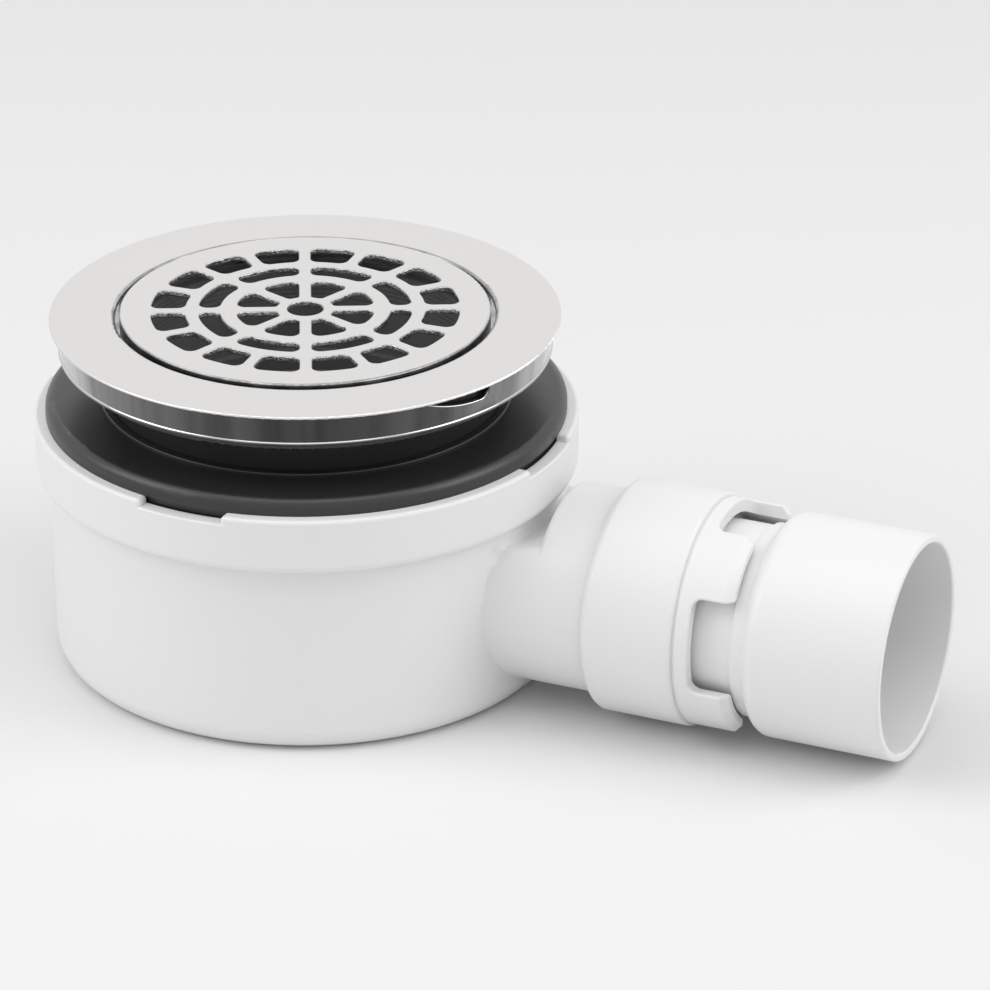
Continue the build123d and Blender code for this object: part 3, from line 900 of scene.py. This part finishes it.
class TRAP_OT_bowl(bpy.types.Operator):
    """Redraw the bowl's outlet channel and finish the bowl in white plastic"""

    bl_idname = "shower_trap.bowl"
    bl_label = "Bowl"

    def execute(self, context):
        looks = context.scene.shower_trap
        finish = looks.white
        material = moulded_material("white_plastic_bowl", finish.colour, finish)
        height = middle_height("outlet_spigot")
        start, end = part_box("body_gasket")[1].x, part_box("coupling_nut")[0].x
        add_parting_line(material, height, start, end, finish.line_width)
        redraw_bowl(looks.outlet).data.materials.append(material)
        return {"FINISHED"}


class TRAP_OT_white_mouldings(bpy.types.Operator):
    """Finish the ring, the coupling nut and the spigot in white plastic"""

    bl_idname = "shower_trap.white_mouldings"
    bl_label = "White mouldings"

    def execute(self, context):
        finish = context.scene.shower_trap.white
        dress(WHITE_NODES, moulded_material("white_plastic", finish.colour, finish))
        return {"FINISHED"}


class TRAP_OT_dark_mouldings(bpy.types.Operator):
    """Finish the dip tube, cup, neck and slip washer in dark plastic"""

    bl_idname = "shower_trap.dark_mouldings"
    bl_label = "Dark mouldings"

    def execute(self, context):
        finish = context.scene.shower_trap.dark
        dress(("weir_cup",), moulded_material("grey_plastic", finish.inner_colour, finish))
        funnel = moulded_material("grey_plastic_ribbed", finish.inner_colour, finish)
        funnel_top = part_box("dip_tube")[1]
        add_ribs(funnel, funnel_top.z - finish.rib_depth, finish.rib_pitch)
        dress(("dip_tube",), funnel)
        neck = moulded_material("black_plastic", finish.neck_colour, finish)
        shader_of(neck).inputs["Specular IOR Level"].default_value = finish.neck_sheen
        add_bore(neck, funnel_top.x + finish.rib_pitch, finish.inner_colour)
        dress(BLACK_NODES, neck)
        return {"FINISHED"}


class TRAP_OT_rubber_seals(bpy.types.Operator):
    """Finish the two gaskets and the seals in black rubber"""

    bl_idname = "shower_trap.rubber_seals"
    bl_label = "Rubber seals"

    def execute(self, context):
        finish = context.scene.shower_trap.rubber
        dress(RUBBER_NODES, moulded_material("black_rubber", finish.colour, finish))
        return {"FINISHED"}


class TRAP_OT_steel_cover(bpy.types.Operator):
    """Finish the pressed cover and the grid in satin and polished steel, with painted reflections,
    shade, highlights and glints
    """

    bl_idname = "shower_trap.steel_cover"
    bl_label = "Steel cover"

    def execute(self, context):
        finish = context.scene.shower_trap.steel
        cover_top, grid_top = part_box("waste_flange")[1].z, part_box("grid")[1].z
        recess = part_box("grid")[1].x + finish.recess_margin
        foot = cover_top - finish.cover_satin
        cover = steel_material("satin_steel", finish, foot, recess, finish.polished_roughness)
        dress(("waste_flange",), cover)
        foot = grid_top - finish.grid_satin
        pierced = steel_material("satin_steel_pierced", finish, foot, recess, finish.grid_roughness)
        add_cut_edges(pierced, finish, grid_top - finish.tear_depth)
        dress(("grid",), pierced)
        return {"FINISHED"}


class TRAP_OT_studio(bpy.types.Operator):
    """Set up the floor, the soft light and the camera"""

    bl_idname = "shower_trap.studio"
    bl_label = "Studio"

    def execute(self, context):
        studio = context.scene.shower_trap.studio
        lay_floor(studio)
        light_world(context.scene, studio)
        hang_lamps(studio)
        aim_camera(context.scene, studio)
        context.scene.view_settings.view_transform = "Standard"
        return {"FINISHED"}


def lay_floor(studio):
    """Plain round floor at the foot of the bowl."""
    mesh = bpy.data.meshes.new("floor")
    shape = bmesh.new()
    bmesh.ops.create_circle(shape, cap_ends=True, segments=96, radius=studio.floor_radius)
    shape.to_mesh(mesh)
    shape.free()
    floor = bpy.data.objects.new("floor", mesh)
    floor.location.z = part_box("trap_bowl")[0].z
    bpy.context.scene.collection.objects.link(floor)
    material, _, shader = fresh_material("floor")
    shader.inputs["Base Color"].default_value = (*studio.floor_colour, 1.0)
    shader.inputs["Roughness"].default_value = 0.9
    shader.inputs["Specular IOR Level"].default_value = 0.1
    mesh.materials.append(material)


def light_world(scene, studio):
    """Soft light from all round, seen as white by the camera and in reflections."""
    world = bpy.data.worlds.new("studio")
    world.use_nodes = True
    scene.world = world
    tree = world.node_tree
    tree.nodes.clear()
    path = tree.nodes.new("ShaderNodeLightPath").outputs
    seen = calc(tree, "MAXIMUM", path["Is Camera Ray"], path["Is Glossy Ray"])
    seen = calc(tree, "MAXIMUM", seen, path["Is Transmission Ray"])
    strength = calc(tree, "MULTIPLY_ADD", seen, 1.0 - studio.ambient, studio.ambient)
    inputs = {"Color": (1.0, 1.0, 1.0, 1.0), "Strength": strength}
    background = place(tree, "ShaderNodeBackground", inputs)
    output = tree.nodes.new("ShaderNodeOutputWorld")
    tree.links.new(background.outputs["Background"], output.inputs["Surface"])


def direction(turn, rise):
    """Direction from the trap, at a turn round it and an angle above the floor."""
    return Vector((sin(turn) * cos(rise), -cos(turn) * cos(rise), sin(rise)))


def hang_lamp(name, away, distance, width, power):
    """Square soft box that looks at the trap from a direction."""
    lamp = bpy.data.lights.new(name, "AREA")
    lamp.shape = "SQUARE"
    lamp.size = width
    lamp.energy = power
    box = bpy.data.objects.new(name, lamp)
    box.location = LAMP_AIM + away * distance
    box.rotation_euler = away.to_track_quat("Z", "Y").to_euler()
    bpy.context.scene.collection.objects.link(box)


def hang_lamps(studio):
    """One soft box overhead and one at each side of the camera."""
    overhead = direction(studio.azimuth, TOP_RISE)
    hang_lamp("top_box", overhead, TOP_DISTANCE, TOP_WIDTH, studio.top_power)
    for name, turn in (("left_box", -SIDE_TURN), ("right_box", SIDE_TURN)):
        beside = direction(studio.azimuth + turn, SIDE_RISE)
        hang_lamp(name, beside, SIDE_DISTANCE, SIDE_WIDTH, studio.side_power)


def aim_camera(scene, studio):
    """Camera at the photograph's angle."""
    camera = bpy.data.cameras.new("camera")
    camera.sensor_width = 36.0
    camera.lens = studio.lens
    stand = bpy.data.objects.new("camera", camera)
    turn, side = studio.azimuth, studio.view_side
    aim = Vector((cos(turn) * side, sin(turn) * side, studio.view_height))
    away = direction(turn, studio.elevation)
    stand.location = aim + away * studio.distance
    stand.rotation_euler = away.to_track_quat("Z", "Y").to_euler()
    scene.collection.objects.link(stand)
    scene.camera = stand


OPERATORS = (
    TRAP_OT_bowl,
    TRAP_OT_white_mouldings,
    TRAP_OT_dark_mouldings,
    TRAP_OT_rubber_seals,
    TRAP_OT_steel_cover,
    TRAP_OT_studio,
)


class TRAP_PT_looks(bpy.types.Panel):
    """Lists the steps that dress the shower trap"""

    bl_idname = "TRAP_PT_looks"
    bl_label = "Shower trap"
    bl_space_type = "VIEW_3D"
    bl_region_type = "UI"
    bl_category = "Shower trap"

    def draw(self, context):
        looks = context.scene.shower_trap
        for operator in OPERATORS:
            self.layout.operator(operator.bl_idname)
        for name in ("outlet", "white", "dark", "rubber", "steel", "studio"):
            box = self.layout.box()
            box.label(text=name.capitalize())
            group = getattr(looks, name)
            for setting in group.__annotations__:
                box.prop(group, setting)


CLASSES = (
    OutletShape,
    WhiteFinish,
    DarkFinish,
    RubberFinish,
    SteelFinish,
    StudioSettings,
    TrapLooks,
    *OPERATORS,
    TRAP_PT_looks,
)


def register():
    """Register the classes and hang the settings on the scene."""
    for item in CLASSES:
        bpy.utils.register_class(item)
    bpy.types.Scene.shower_trap = PointerProperty(type=TrapLooks)


def unregister():
    """Take the settings and the classes away again."""
    del bpy.types.Scene.shower_trap
    for item in reversed(CLASSES):
        bpy.utils.unregister_class(item)


def main():
    """Dress every piece and set up the studio."""
    register()
    bpy.ops.shower_trap.bowl()
    bpy.ops.shower_trap.white_mouldings()
    bpy.ops.shower_trap.dark_mouldings()
    bpy.ops.shower_trap.rubber_seals()
    bpy.ops.shower_trap.steel_cover()
    bpy.ops.shower_trap.studio()


if __name__ == "__main__":
    main()
